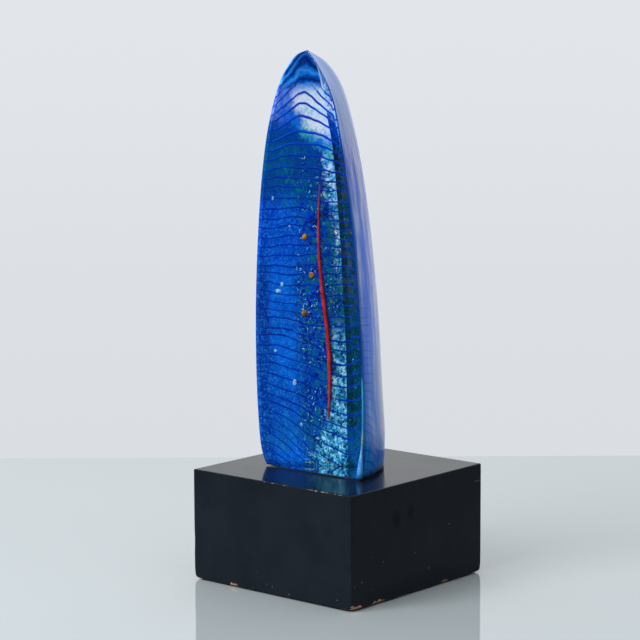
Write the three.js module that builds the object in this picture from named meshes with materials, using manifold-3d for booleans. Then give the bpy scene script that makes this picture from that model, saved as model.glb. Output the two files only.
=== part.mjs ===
// A tall cut-glass spire standing loose on a black mitred wooden plinth.
// Millimetres, +Z up. The origin is at the middle of the plinth's foot, on the surface that it stands on.
// -Y is the front, along which the glass's broad face looks, and +X is the right.

import * as THREE from "three";
import { mergeVertices } from "three/addons/utils/BufferGeometryUtils.js";
import Module from "manifold-3d";

const wasm = await Module();
wasm.setup();

// Plinth sizes
const PLINTH_SIDE = 150;
const PLINTH_HEIGHT = 82.3;
const BOARD_THICKNESS = 12;
const BASE_THICKNESS = 9;
const BLOCK_SIDE = 24;
const BLOCK_HEIGHT = 45;
const FELT_DIAMETER = 15;
const FELT_THICKNESS = 1.2;
const FELT_EDGE_MARGIN = 4;
const GLUE_GAP = 0.3;
const BASE_CLEARANCE = 0.3;

// Countersunk wood screws through the base board
const SCREW_LENGTH = 28;
const SCREW_SHANK_DIAMETER = 4;
const SCREW_HEAD_DIAMETER = 8;
const SCREW_HEAD_HEIGHT = 2.2;
const SCREW_POINT_HEIGHT = 4;
const SCREW_SLOT_WIDTH = 1;
const SCREW_SLOT_DEPTH = 0.9;
const SCREW_CLEARANCE = 0.3;
const SCREW_END_ROOM = 2;

// Glass sizes. The three edge curves are points on the glass, with heights above its own base.
const GLASS_HEIGHT = 303;
const APEX = [-1.6, -30.4, GLASS_HEIGHT];
const LEFT_EDGE = [
  [-43, -30.9, 0],
  [-47.5, -30.9, 9.8],
  [-50.9, -31, 39.3],
  [-52.6, -31, 98.6],
  [-50.4, -31, 157.6],
  [-44.8, -31, 216.2],
  [-37.6, -31, 252.4],
  [-26.5, -30.9, 281.3],
  [-12.8, -30.7, 298.4],
  APEX,
];
const RIGHT_ARRIS = [
  [45.9, -29.8, 0],
  [48.4, -29.8, 36],
  [47.3, -29.9, 90.5],
  [42.5, -29.9, 151.5],
  [35.3, -30, 205.6],
  [29.1, -30, 240.2],
  [20.7, -30.1, 271.4],
  [7.8, -30.2, 292.4],
  APEX,
];
const BACK_SPINE = [
  [9.5, 29.5, 0],
  [8.1, 31.1, 26],
  [5.5, 31.2, 80],
  [3.5, 28.4, 135],
  [1.8, 20.2, 205],
  [0.9, 8.7, 255],
  [-0.6, 0, 280],
  [-1.6, -12, 294],
  APEX,
];
const FRONT_BULGE = 2.3;
const SIDE_FULLNESS = 0.45;
const BACK_ROUNDING = 0.21;
const SIDE_START_DIRECTION = [-0.157, 0.988];
const FOOT_SWELL = 0.2;
const FOOT_SWELL_HEIGHT = 14;
const FOOT_SWELL_REACH = 30;

// Layers and what is cased in the glass
const LAYER_THICKNESS = 2.4;
const TIP_THICKNESS = 6;
const GLASS_GAP = 0.3;
const CANE_LOW = 34;
const CANE_HIGH = 206;
const CANE_THICKEST = 92;
const CANE_DIAMETER = 3.4;
const CANE_TIP_DIAMETER = 0.7;
const CANE_PLACE = 0.75;
const CANE_BOW = 0.035;
const DROP_DIAMETER = 4.6;
const DROP_THICKNESS = 3;
const DROP_PLACES = [
  { place: 0.56, height: 168 },
  { place: 0.63, height: 140 },
  { place: 0.54, height: 112 },
];

// Clear bumper discs under the glass
const BUMPER_DIAMETER = 9;
const BUMPER_THICKNESS = 1;
const BUMPER_PLACES = [
  { name: "bumper_left", at: [-22, -20] },
  { name: "bumper_right", at: [28, -20] },
  { name: "bumper_back", at: [8, 15] },
];

// Facets
const FRONT_STEPS = 8;
const SIDE_STEPS = 17;
const REAR_STEPS = 4;
const GLASS_LEVELS = 32;
const FOOT_LEVELS = [0, 3, 9];
const ROUND_SIDES = 24;
const CANE_SIDES = 8;
const CANE_RINGS = 22;

// Worked out from the sizes above
const HALF_SIDE = PLINTH_SIDE / 2;
const BOARD_FOOT = FELT_THICKNESS;
const BASE_TOP = BOARD_FOOT + BASE_THICKNESS;
const ROOM_HALF = HALF_SIDE - BOARD_THICKNESS;
const BLOCK_CENTRE = ROOM_HALF - BLOCK_SIDE / 2;
const GLASS_BASE = PLINTH_HEIGHT + BUMPER_THICKNESS;

const materials = {
  paint: { color: 0x15191d, roughness: 0.42, metalness: 0 },
  rawWood: { color: 0xb98a5a, roughness: 0.8, metalness: 0 },
  steel: { color: 0xb9b39a, roughness: 0.35, metalness: 1 },
  felt: { color: 0x2b2d2f, roughness: 1, metalness: 0 },
  clearGlass: { color: 0x7fc4e8, roughness: 0.02, metalness: 0 },
  blueGlass: { color: 0x0f3fc4, roughness: 0.05, metalness: 0 },
  sideGlass: { color: 0x7f86c8, roughness: 0.12, metalness: 0 },
  redGlass: { color: 0xd0241c, roughness: 0.08, metalness: 0 },
  amberGlass: { color: 0xe89a1c, roughness: 0.08, metalness: 0 },
  bumper: { color: 0xdfe6e8, roughness: 0.3, metalness: 0 },
};

const sculpture = new THREE.Group();

function addPiece(parent, name, geometry, look) {
  const mesh = new THREE.Mesh(geometry, new THREE.MeshStandardMaterial(materials[look]));
  mesh.name = name;
  parent.add(mesh);
  return mesh;
}

// Solids for cutting and joining

function toSolid(geometry) {
  const bare = geometry.clone();
  bare.deleteAttribute("normal");
  bare.deleteAttribute("uv");
  const merged = mergeVertices(bare, 1e-5);
  const mesh = new wasm.Mesh({
    numProp: 3,
    vertProperties: new Float32Array(merged.attributes.position.array),
    triVerts: new Uint32Array(merged.index.array),
  });
  return new wasm.Manifold(mesh);
}

function toGeometry(solid) {
  const mesh = solid.getMesh();
  const geometry = new THREE.BufferGeometry();
  geometry.setAttribute("position", new THREE.BufferAttribute(mesh.vertProperties, 3));
  geometry.setIndex(new THREE.BufferAttribute(mesh.triVerts, 1));
  geometry.computeVertexNormals();
  return geometry;
}

// Closed skin over rings of points, lowest first. Each end is closed by a fan to its middle or to a given tip.
function loft(rings, tip) {
  const count = rings[0].length;
  const positions = rings.flat().flatMap((point) => point.toArray());
  const faces = [];
  for (let ring = 0; ring + 1 < rings.length; ring++) {
    for (let i = 0; i < count; i++) {
      const a = ring * count + i;
      const b = ring * count + ((i + 1) % count);
      faces.push(a, b, b + count, a, b + count, a + count);
    }
  }
  const middle = (ring) =>
    ring.reduce((sum, point) => sum.add(point), new THREE.Vector3()).divideScalar(count);
  const bottom = positions.length / 3;
  positions.push(...middle(rings[0]).toArray());
  const top = bottom + 1;
  positions.push(...(tip ?? middle(rings.at(-1))).toArray());
  const last = (rings.length - 1) * count;
  for (let i = 0; i < count; i++) {
    const next = (i + 1) % count;
    faces.push(bottom, next, i);
    faces.push(top, last + i, last + next);
  }
  const geometry = new THREE.BufferGeometry();
  geometry.setAttribute("position", new THREE.Float32BufferAttribute(positions, 3));
  geometry.setIndex(faces);
  geometry.computeVertexNormals();
  return geometry;
}

// Glass outline

const throughPoints = (points) =>
  new THREE.CatmullRomCurve3(points.map((point) => new THREE.Vector3(...point)), false, "centripetal");
const leftEdge = throughPoints(LEFT_EDGE);
const rightArris = throughPoints(RIGHT_ARRIS);
const backSpine = throughPoints(BACK_SPINE);

function atHeight(curve, height) {
  let low = 0;
  let high = 1;
  while (high - low > 1e-7) {
    const middle = (low + high) / 2;
    if (curve.getPoint(middle).z < height) {
      low = middle;
    } else {
      high = middle;
    }
  }
  const point = curve.getPoint(low);
  return new THREE.Vector2(point.x, point.y);
}

// Horizontal section of the glass: a bulged front, a full right side rounding the back, a straight left-back.
function sectionCorners(height) {
  const left = atHeight(leftEdge, height);
  const right = atHeight(rightArris, height);
  const back = atHeight(backSpine, height);
  const depth = back.y - left.y;
  const rearDirection = back.clone().sub(left).normalize();
  const swell = FOOT_SWELL * Math.exp(-(((height - FOOT_SWELL_HEIGHT) / FOOT_SWELL_REACH) ** 2));
  const sideStart = new THREE.Vector2(...SIDE_START_DIRECTION)
    .multiplyScalar((SIDE_FULLNESS + swell) * depth)
    .add(right);
  const sideEnd = rearDirection.clone().multiplyScalar(BACK_ROUNDING * depth).add(back);
  const widest = RIGHT_ARRIS[1][0] - LEFT_EDGE[3][0];
  const bulge = (2 * FRONT_BULGE * (right.x - left.x)) / widest;
  const front = left.clone().add(right).divideScalar(2).add(new THREE.Vector2(0, -bulge));
  return { left, right, back, sideStart, sideEnd, front };
}

function section(height) {
  const corners = sectionCorners(height);
  const front = new THREE.QuadraticBezierCurve(corners.left, corners.front, corners.right);
  const side = new THREE.CubicBezierCurve(
    corners.right,
    corners.sideStart,
    corners.sideEnd,
    corners.back,
  );
  const rear = new THREE.LineCurve(corners.back, corners.left);
  const outline = [
    ...front.getPoints(FRONT_STEPS).slice(0, -1),
    ...side.getPoints(SIDE_STEPS).slice(0, -1),
    ...rear.getPoints(REAR_STEPS).slice(0, -1),
  ];
  return outline.map((point) => new THREE.Vector3(point.x, point.y, height));
}

function glassLevels() {
  const levels = [...FOOT_LEVELS];
  for (let i = 1; i < GLASS_LEVELS; i++) {
    const height = GLASS_HEIGHT * Math.sin((Math.PI / 2) * (i / GLASS_LEVELS));
    if (height > FOOT_LEVELS.at(-1)) {
      levels.push(height);
    }
  }
  return levels;
}

const glassRings = glassLevels().map(section);
const outerSolid = toSolid(loft(glassRings, new THREE.Vector3(...APEX)));

// The outer form moved in from the back faces by a thickness, and lower at the tip. It reaches below the base.
function innerSolid(thickness) {
  const corners = sectionCorners(GLASS_HEIGHT / 2);
  const rearInward = corners.left.clone().sub(corners.back).normalize();
  rearInward.set(-rearInward.y, rearInward.x);
  const sideInward = corners.back.clone().sub(corners.right).normalize();
  sideInward.set(-sideInward.y, sideInward.x);
  const cross = rearInward.x * sideInward.y - rearInward.y * sideInward.x;
  const shiftX = (thickness * (sideInward.y - rearInward.y)) / cross;
  const shiftY = (thickness * (rearInward.x - sideInward.x)) / cross;
  const tipThickness = (TIP_THICKNESS * thickness) / LAYER_THICKNESS;
  const squash = (GLASS_HEIGHT - tipThickness) / GLASS_HEIGHT;
  const moved = (point) => new THREE.Vector3(point.x + shiftX, point.y + shiftY, point.z * squash);
  const rings = glassRings.map((ring) => ring.map(moved));
  const below = rings[0].map((point) => new THREE.Vector3(point.x, point.y, -LAYER_THICKNESS));
  return toSolid(loft([below, ...rings], moved(new THREE.Vector3(...APEX))));
}

// Point inside the left-back face: place runs from 0 at the left edge to 1 at the back, depth goes inward.
function rearPoint(place, height, depth) {
  const { left, back } = sectionCorners(height);
  const point = left.clone().lerp(back, place);
  const inward = left.clone().sub(back).normalize();
  inward.set(-inward.y, inward.x);
  point.addScaledVector(inward, depth);
  return new THREE.Vector3(point.x, point.y, height);
}

// Cased pieces lie across the face where the core meets the back layer

const CASED_DEPTH = LAYER_THICKNESS + GLASS_GAP;

function caneRadius(height) {
  const reach = height < CANE_THICKEST ? CANE_THICKEST - CANE_LOW : CANE_HIGH - CANE_THICKEST;
  const along = Math.abs(height - CANE_THICKEST) / reach;
  const swell = Math.cos((Math.PI / 2) * along);
  return (CANE_TIP_DIAMETER + (CANE_DIAMETER - CANE_TIP_DIAMETER) * swell) / 2;
}

function cane(clearance) {
  const rings = [];
  for (let i = 0; i <= CANE_RINGS; i++) {
    const along = i / CANE_RINGS;
    const height = THREE.MathUtils.lerp(CANE_LOW - clearance, CANE_HIGH + clearance, along);
    const place = CANE_PLACE + CANE_BOW * Math.sin(2 * Math.PI * along);
    const centre = rearPoint(place, height, CASED_DEPTH);
    const radius = caneRadius(THREE.MathUtils.clamp(height, CANE_LOW, CANE_HIGH)) + clearance;
    const ring = [];
    for (let side = 0; side < CANE_SIDES; side++) {
      const angle = (2 * Math.PI * side) / CANE_SIDES;
      ring.push(
        new THREE.Vector3(radius * Math.cos(angle), radius * Math.sin(angle), 0).add(centre),
      );
    }
    rings.push(ring);
  }
  return loft(rings);
}

function drop({ place, height }, clearance) {
  const centre = rearPoint(place, height, CASED_DEPTH);
  const along = rearPoint(1, height, 0).sub(rearPoint(0, height, 0));
  const geometry = new THREE.SphereGeometry(1, 12, 8);
  geometry.scale(
    DROP_DIAMETER / 2 + clearance,
    DROP_THICKNESS / 2 + clearance,
    DROP_DIAMETER / 2 + clearance,
  );
  geometry.rotateZ(Math.atan2(along.y, along.x));
  geometry.translate(centre.x, centre.y, centre.z);
  return geometry;
}

// The upright seam between the two colour layers runs from the middle of the front through the back spine
function seamSolid() {
  const rings = [-LAYER_THICKNESS, ...glassLevels().slice(1), GLASS_HEIGHT].map((height) => {
    const { back } = sectionCorners(Math.max(height, 0));
    const front = new THREE.Vector2(APEX[0], APEX[1] - 2 * LAYER_THICKNESS - FRONT_BULGE);
    const along = back.clone().sub(front);
    const end = back.clone().addScaledVector(along.clone().normalize(), 2 * LAYER_THICKNESS);
    const across = new THREE.Vector2(-along.y, along.x).normalize().multiplyScalar(GLASS_GAP / 2);
    const outline = [
      front.clone().sub(across),
      end.clone().sub(across),
      end.clone().add(across),
      front.clone().add(across),
    ];
    return outline.map((point) => new THREE.Vector3(point.x, point.y, height));
  });
  const highest = rings.at(-1).map((point) => point.clone().setZ(GLASS_HEIGHT + LAYER_THICKNESS));
  return toSolid(loft([...rings, highest]));
}

function buildGlass() {
  const glass = new THREE.Group();
  glass.position.z = GLASS_BASE;
  sculpture.add(glass);

  let pockets = toSolid(cane(GLASS_GAP));
  for (const spot of DROP_PLACES) {
    pockets = pockets.add(toSolid(drop(spot, GLASS_GAP)));
  }
  const core = outerSolid.intersect(innerSolid(CASED_DEPTH)).subtract(pockets);
  addPiece(glass, "clear_core", toGeometry(core), "clearGlass");

  const layers = outerSolid.subtract(innerSolid(LAYER_THICKNESS)).subtract(seamSolid());
  for (const layer of layers.decompose()) {
    const box = layer.boundingBox();
    const isRear = box.min[0] < LEFT_EDGE[0][0];
    const cut = isRear ? layer.subtract(pockets) : layer;
    const name = isRear ? "left_back_colour_layer" : "right_side_colour_layer";
    addPiece(glass, name, toGeometry(cut), isRear ? "blueGlass" : "sideGlass");
  }

  addPiece(glass, "red_cane", cane(0), "redGlass");
  DROP_PLACES.forEach((spot, i) => addPiece(glass, `amber_drop_${i + 1}`, drop(spot, 0), "amberGlass"));

  for (const { name, at } of BUMPER_PLACES) {
    const disc = new THREE.CylinderGeometry(
      BUMPER_DIAMETER / 2,
      BUMPER_DIAMETER / 2,
      BUMPER_THICKNESS,
      ROUND_SIDES,
    );
    disc.rotateX(Math.PI / 2);
    addPiece(glass, name, disc, "bumper").position.set(at[0], at[1], -BUMPER_THICKNESS / 2);
  }
}

// A board with every mitred edge drawn in by its own thickness: the far face is smaller than the near one
function mitredBoard(nearCorners, farCorners) {
  const points = [nearCorners, farCorners].map((corners) =>
    corners.map((corner) => new THREE.Vector3(...corner)),
  );
  return loft(points);
}

function buildPlinthBoards() {
  const half = HALF_SIDE - GLUE_GAP / 2;
  const lidHalf = HALF_SIDE;
  const top = PLINTH_HEIGHT;
  const lidUnder = top - BOARD_THICKNESS;
  const lidUnderHalf = lidHalf - BOARD_THICKNESS;
  const square = (reach, z) => [
    [-reach, -reach, z],
    [reach, -reach, z],
    [reach, reach, z],
    [-reach, reach, z],
  ];
  addPiece(
    sculpture,
    "plinth_top_board",
    mitredBoard(square(lidUnderHalf, lidUnder), square(lidHalf, top)),
    "paint",
  );
  const outerTop = top - GLUE_GAP * Math.SQRT2;
  const innerTop = outerTop - BOARD_THICKNESS;
  const inner = half - BOARD_THICKNESS;
  const sides = ["plinth_front_board", "plinth_right_board", "plinth_back_board", "plinth_left_board"];
  sides.forEach((name, turn) => {
    const insideFace = [
      [-inner, -ROOM_HALF, BOARD_FOOT],
      [inner, -ROOM_HALF, BOARD_FOOT],
      [inner, -ROOM_HALF, innerTop],
      [-inner, -ROOM_HALF, innerTop],
    ];
    const outsideFace = [
      [-half, -HALF_SIDE, BOARD_FOOT],
      [half, -HALF_SIDE, BOARD_FOOT],
      [half, -HALF_SIDE, outerTop],
      [-half, -HALF_SIDE, outerTop],
    ];
    const board = addPiece(sculpture, name, mitredBoard(insideFace, outsideFace), "paint");
    board.rotation.z = (turn * Math.PI) / 2;
  });
}

function screwShape(clearance) {
  const shank = SCREW_SHANK_DIAMETER / 2 + clearance;
  const head = SCREW_HEAD_DIAMETER / 2 + clearance;
  const room = clearance > 0 ? SCREW_END_ROOM : 0;
  const foot = clearance > 0 ? -BASE_THICKNESS / 2 : 0;
  const profile = [
    new THREE.Vector2(0, foot),
    new THREE.Vector2(head, foot),
    new THREE.Vector2(head, 0),
    new THREE.Vector2(shank, SCREW_HEAD_HEIGHT),
    new THREE.Vector2(shank, SCREW_LENGTH - SCREW_POINT_HEIGHT + room),
    new THREE.Vector2(0, SCREW_LENGTH + room),
  ];
  const outline = foot === 0 ? profile.filter((_, i) => i !== 2) : profile;
  const shape = new THREE.LatheGeometry(outline, ROUND_SIDES / 2);
  shape.rotateX(Math.PI / 2);
  return shape;
}

function slottedScrew() {
  const slot = new THREE.BoxGeometry(SCREW_HEAD_DIAMETER * 2, SCREW_SLOT_WIDTH, SCREW_SLOT_DEPTH * 2);
  return toGeometry(toSolid(screwShape(0)).subtract(toSolid(slot)));
}

function buildPlinthFloor() {
  const corners = [
    { name: "front_left", x: -1, y: -1 },
    { name: "front_right", x: 1, y: -1 },
    { name: "back_right", x: 1, y: 1 },
    { name: "back_left", x: -1, y: 1 },
  ];
  const baseSide = 2 * (ROOM_HALF - BASE_CLEARANCE);
  const slab = new THREE.BoxGeometry(baseSide, baseSide, BASE_THICKNESS);
  slab.translate(0, 0, BOARD_FOOT + BASE_THICKNESS / 2);
  let base = toSolid(slab);
  const feltX = ROOM_HALF - BLOCK_SIDE - FELT_DIAMETER / 2;
  const feltY = ROOM_HALF - BASE_CLEARANCE - FELT_EDGE_MARGIN - FELT_DIAMETER / 2;

  for (const { name, x, y } of corners) {
    const hole = screwShape(SCREW_CLEARANCE);
    hole.translate(x * BLOCK_CENTRE, y * BLOCK_CENTRE, BOARD_FOOT);
    base = base.subtract(toSolid(hole));

    const block = new THREE.BoxGeometry(BLOCK_SIDE, BLOCK_SIDE, BLOCK_HEIGHT);
    block.translate(x * BLOCK_CENTRE, y * BLOCK_CENTRE, BASE_TOP + BLOCK_HEIGHT / 2);
    const drilled = toSolid(block).subtract(toSolid(hole));
    addPiece(sculpture, `corner_block_${name}`, toGeometry(drilled), "rawWood");

    const screw = addPiece(sculpture, `base_screw_${name}`, slottedScrew(), "steel");
    screw.position.set(x * BLOCK_CENTRE, y * BLOCK_CENTRE, BOARD_FOOT);

    const felt = new THREE.CylinderGeometry(
      FELT_DIAMETER / 2,
      FELT_DIAMETER / 2,
      FELT_THICKNESS,
      ROUND_SIDES,
    );
    felt.rotateX(Math.PI / 2);
    const pad = addPiece(sculpture, `felt_pad_${name}`, felt, "felt");
    pad.position.set(x * feltX, y * feltY, FELT_THICKNESS / 2);
  }
  addPiece(sculpture, "plinth_base_board", toGeometry(base), "rawWood");
}

buildPlinthBoards();
buildPlinthFloor();
buildGlass();

export default sculpture;
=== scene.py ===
import random
from math import atan2, cos, dist, exp, pi, radians, sin, sqrt
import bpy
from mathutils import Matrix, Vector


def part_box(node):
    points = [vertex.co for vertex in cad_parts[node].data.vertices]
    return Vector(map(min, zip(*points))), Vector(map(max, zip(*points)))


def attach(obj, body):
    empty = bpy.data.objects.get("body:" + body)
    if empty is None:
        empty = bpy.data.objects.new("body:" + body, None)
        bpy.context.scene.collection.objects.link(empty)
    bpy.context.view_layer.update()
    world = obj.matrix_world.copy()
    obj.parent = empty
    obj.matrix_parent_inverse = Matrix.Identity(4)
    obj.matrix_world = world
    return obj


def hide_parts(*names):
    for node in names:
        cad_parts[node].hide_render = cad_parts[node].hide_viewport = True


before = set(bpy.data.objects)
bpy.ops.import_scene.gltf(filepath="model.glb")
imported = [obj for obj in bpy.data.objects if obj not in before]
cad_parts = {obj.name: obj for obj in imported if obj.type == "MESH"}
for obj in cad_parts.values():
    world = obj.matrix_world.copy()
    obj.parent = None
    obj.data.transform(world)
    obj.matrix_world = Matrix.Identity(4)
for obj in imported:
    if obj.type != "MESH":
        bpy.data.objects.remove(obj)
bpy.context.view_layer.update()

from types import SimpleNamespace

import bpy
import numpy as np
from mathutils import Matrix, Vector
from numpy.linalg import norm

scene = bpy.context.scene
MM = 0.001

# Camera at the photograph's place
CAMERA_PLACE = (1.061122, -1.258287, 0.418552)
CAMERA_AZIMUTH = radians(40.587)
CAMERA_ELEVATION = radians(7.886)
CAMERA_ROLL = radians(-0.241)
SENSOR_WIDTH = 36
FOCAL_PIXELS = 2284.8
PICTURE_PIXELS = 640

# Plinth, from the frame
top_low, top_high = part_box("plinth_top_board")
PLINTH_HALF = top_high.x
PLINTH_TOP = top_high.z
BOARD_THICKNESS = top_high.z - top_low.z
BOARD_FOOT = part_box("plinth_front_board")[0].z
ARRIS_RADIUS = 0.9 * MM

# Glass outline, in millimetres above the glass's own base
GLASS_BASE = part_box("clear_core")[0].z
GLASS_HEIGHT = 303
APEX = (-1.6, -30.4, GLASS_HEIGHT)
LEFT_EDGE = (
    (-43, -30.9, 0), (-47.5, -30.9, 9.8), (-50.9, -31, 39.3), (-52.6, -31, 98.6), (-50.4, -31, 157.6),
    (-44.8, -31, 216.2), (-37.6, -31, 252.4), (-26.5, -30.9, 281.3), (-12.8, -30.7, 298.4), APEX,
)
RIGHT_ARRIS = (
    (45.9, -29.8, 0), (48.4, -29.8, 36), (47.3, -29.9, 90.5), (42.5, -29.9, 151.5), (35.3, -30, 205.6),
    (29.1, -30, 240.2), (20.7, -30.1, 271.4), (7.8, -30.2, 292.4), APEX,
)
BACK_SPINE = (
    (9.5, 29.5, 0), (8.1, 31.1, 26), (5.5, 31.2, 80), (3.5, 28.4, 135), (1.8, 20.2, 205),
    (0.9, 8.7, 255), (-0.6, 0, 280), (-1.6, -12, 294), APEX,
)
FRONT_BULGE = 2.3
SIDE_FULLNESS = 0.45
BACK_ROUNDING = 0.21
SIDE_START_DIRECTION = (-0.157, 0.988)
FOOT_SWELL, FOOT_SWELL_HEIGHT, FOOT_SWELL_REACH = 0.2, 14, 30
FULL_DEPTH = 44
EDGE_RADIUS = 0.5
FOOT_RADIUS = 0.18
LOWEST = 0.02
FRONT_STEPS, SIDE_STEPS, REAR_STEPS = 34, 40, 26
BODY_LEVELS, LAYER_LEVELS = 96, 110

# Colour layers of the glass, in millimetres
SKIN = 0.25
SKIN_TAPERS_FROM = 200
LAYER_THICKNESS = 2.2
OUTER_LIFT = 0.04
SEAM_SHIFT = 3.8
SEAM_SHIFT_MORE = 1.8
SEAM_GAP = 0.1
ARRIS_THINNING, ARRIS_THIN_FROM, ARRIS_THIN_TO = 0.5, 1.78, 1.98
ARRIS_FOOT, ARRIS_FOOT_HEIGHT = 1.1, 15


# Curves through points, and the glass's horizontal section

def centripetal(points, steps=400):
    """Points along a centripetal Catmull-Rom curve."""
    spots = [np.array(point, float) for point in points]
    spots = [2 * spots[0] - spots[1], *spots, 2 * spots[-1] - spots[-2]]
    pieces = []
    along = np.linspace(0, 1, steps)[:, None]
    for p0, p1, p2, p3 in zip(spots, spots[1:], spots[2:], spots[3:]):
        d0, d1, d2 = (sqrt(norm(b - a)) for a, b in ((p0, p1), (p1, p2), (p2, p3)))
        start = ((p1 - p0) / d0 - (p2 - p0) / (d0 + d1) + (p2 - p1) / d1) * d1
        end = ((p2 - p1) / d1 - (p3 - p1) / (d1 + d2) + (p3 - p2) / d2) * d1
        cubic = 2 * p1 - 2 * p2 + start + end
        square = -3 * p1 + 3 * p2 - 2 * start - end
        pieces.append(p1 + start * along + square * along**2 + cubic * along**3)
    return np.concatenate(pieces)


EDGES = [centripetal(points) for points in (LEFT_EDGE, RIGHT_ARRIS, BACK_SPINE)]


def smooth(t):
    """0 below 0, 1 above 1 and a smooth turn between them."""
    t = min(1.0, max(0.0, t))
    return t * t * (3 - 2 * t)


def hump(offset, reach):
    """1 at no offset, fading to 0 a little past the reach."""
    return exp(-((offset / reach) ** 2))


def rising(value, middle, soft):
    """0 well below the middle and 1 well above it."""
    return 1 / (1 + exp(-(value - middle) / soft))


def bezier(points, t):
    """Place and direction at t on the curve with these control points."""
    while len(points) > 2:
        points = [a + (b - a) * t for a, b in zip(points, points[1:])]
    return points[0] + (points[1] - points[0]) * t, points[1] - points[0]


def corners(height):
    """Left edge, right arris and back spine at a height, and the control points of the faces."""
    left, right, back = (
        np.array([np.interp(height, edge[:, 2], edge[:, axis]) for axis in (0, 1)])
        for edge in EDGES
    )
    depth = back[1] - left[1]
    rear_length = norm(back - left)
    rear = (back - left) / rear_length
    swell = FOOT_SWELL * hump(height - FOOT_SWELL_HEIGHT, FOOT_SWELL_REACH)
    bulge = 2 * FRONT_BULGE * (right[0] - left[0]) / (RIGHT_ARRIS[1][0] - LEFT_EDGE[3][0])
    side_start = right + np.array(SIDE_START_DIRECTION) * (SIDE_FULLNESS + swell) * depth
    return SimpleNamespace(
        left=left, right=right, back=back, depth=depth, rear=rear, rear_length=rear_length,
        front=[left, (left + right) / 2 + np.array([0, -bulge]), right],
        side=[right, side_start, back + rear * BACK_ROUNDING * depth, back],
        taper=min(1.0, depth / FULL_DEPTH),
    )


def side_point(c, t):
    """Point and inward direction on the right side: t runs from the back spine to the right arris."""
    point, way = bezier(c.side, 1 - t)
    return point, np.array([-way[1], way[0]]) / norm(way)


def wrap_point(c, wrap, depth):
    """Point under the coloured faces: wrap is 0 at the left edge, 1 at the back spine and 2 at the arris."""
    if wrap <= 1:
        inward = np.array([c.rear[1], -c.rear[0]])
        return c.left + wrap * (c.back - c.left) + inward * depth
    point, inward = side_point(c, wrap - 1)
    return point + inward * depth


def wrap_limits(c, depth, cover):
    """The wraps at which the layer, at a depth, comes within the cover of the front face."""
    limits = []
    for inside, outside in ((0.6, 0.0), (1.4, 2.0)):
        for _ in range(30):
            middle = (inside + outside) / 2
            x, y = wrap_point(c, middle, depth)
            across = (x - c.left[0]) / (c.right[0] - c.left[0])
            if y > bezier(c.front, across)[0][1] + cover:
                inside = middle
            else:
                outside = middle
        limits.append(inside)
    return limits


def layer_depths(c, height):
    """Depths of the outer and the inner side of the colour layers under the glass's skin."""
    cover = SKIN * c.taper if height > SKIN_TAPERS_FROM else SKIN
    return cover, cover + LAYER_THICKNESS * c.taper


def seam_wrap(height):
    """Where the two coloured layers meet, a little to the left of the back spine."""
    c = corners(height)
    shift = SEAM_SHIFT + SEAM_SHIFT_MORE * (smooth((height - 232) / 28) + smooth((90 - height) / 70))
    return 1 - shift * c.taper / c.rear_length


def place(point, height):
    return (point[0] * MM, point[1] * MM, GLASS_BASE + height * MM)


# Trailed threads: heights of an even winding, pulled into waves, a droop at the foot and arches at the tip

THREAD_PITCH = 6.6
THREAD_JITTER = 0.17
THREAD_COUNT = 58
THREAD_STARTS_BELOW = 6
# Height of each wave, waves in a wrap, the height over which it shifts by one, and its start
THREAD_WAVES = ((1.1, 0.9, 96, 0), (0.6, 2.3, -61, 1), (0.22, 7.1, 19, 0))
DROOP, DROOP_REACH = 47, 78
ARCH, ARCH_HEIGHT, ARCH_WRAP, ARCH_HALF_WRAP = 26, 236, 0.5, 0.6
RISE_AT_SEAM, RISE_AT_ARRIS, RISE_REACH = 5.5, 9, 85
rng = random.Random(7)
THREAD_HEIGHTS = [
    THREAD_PITCH * (i + 0.4 + rng.uniform(-THREAD_JITTER, THREAD_JITTER)) for i in range(THREAD_COUNT)
]


def thread_pull(wrap, height):
    """How far a thread of a rest height is pulled up at a wrap, in millimetres."""
    waves = sum(
        size * sin(2 * pi * (turns * wrap + height / shift) + start)
        for size, turns, shift, start in THREAD_WAVES
    )
    waves *= 1 - 0.9 * smooth((wrap - 0.95) / 0.3) * smooth((height - 190) / 30)
    droop = DROOP * hump(height, DROOP_REACH) * sin(pi * min(wrap, 2) / 2.1) ** 2
    arch = ARCH * rising(height, ARCH_HEIGHT, 19)
    arch *= cos(pi / 2 * min(1.0, abs(wrap - ARCH_WRAP) / ARCH_HALF_WRAP)) ** 1.5
    rise = RISE_AT_SEAM * smooth((wrap - 0.9) / 0.25) + RISE_AT_ARRIS * smooth((wrap - 1.2) / 0.8)
    return waves - droop + arch + rise * hump(height, RISE_REACH)


def thread_count(wrap, height):
    """A number that is whole on each thread, from the rest height of the thread that passes a place."""
    rest = height
    for _ in range(40):
        rest = 0.5 * rest + 0.5 * (height - thread_pull(wrap, rest))
    rest += THREAD_STARTS_BELOW * THREAD_PITCH
    return float(np.interp(rest, THREAD_HEIGHTS, range(len(THREAD_HEIGHTS))))


# Node trees

def arithmetic(operation):
    """A method that adds a math node."""
    return lambda self, *others: self.nodes.math(operation, self, *others)


class Value:
    """A number in a node tree. Plain arithmetic with it adds the nodes."""

    __add__, __sub__, __mul__ = (arithmetic(name) for name in ("ADD", "SUBTRACT", "MULTIPLY"))
    least, most = arithmetic("MINIMUM"), arithmetic("MAXIMUM")
    above, below = arithmetic("GREATER_THAN"), arithmetic("LESS_THAN")
    size, to_and_fro = arithmetic("ABSOLUTE"), arithmetic("PINGPONG")

    def __init__(self, nodes, socket):
        self.nodes, self.socket = nodes, socket

    def __rsub__(self, other):
        return self.nodes.math("SUBTRACT", other, self)

    def fade(self, low, high):
        """0 at low and 1 at high, with a smooth turn."""
        return self.nodes.number("MapRange", (self, low, high), interpolation_type="SMOOTHSTEP")

    def window(self, low, high, soft):
        """1 between two numbers, fading to 0 over a soft margin."""
        return self.fade(low - soft, low + soft) * self.fade(high + soft, high - soft)


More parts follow.
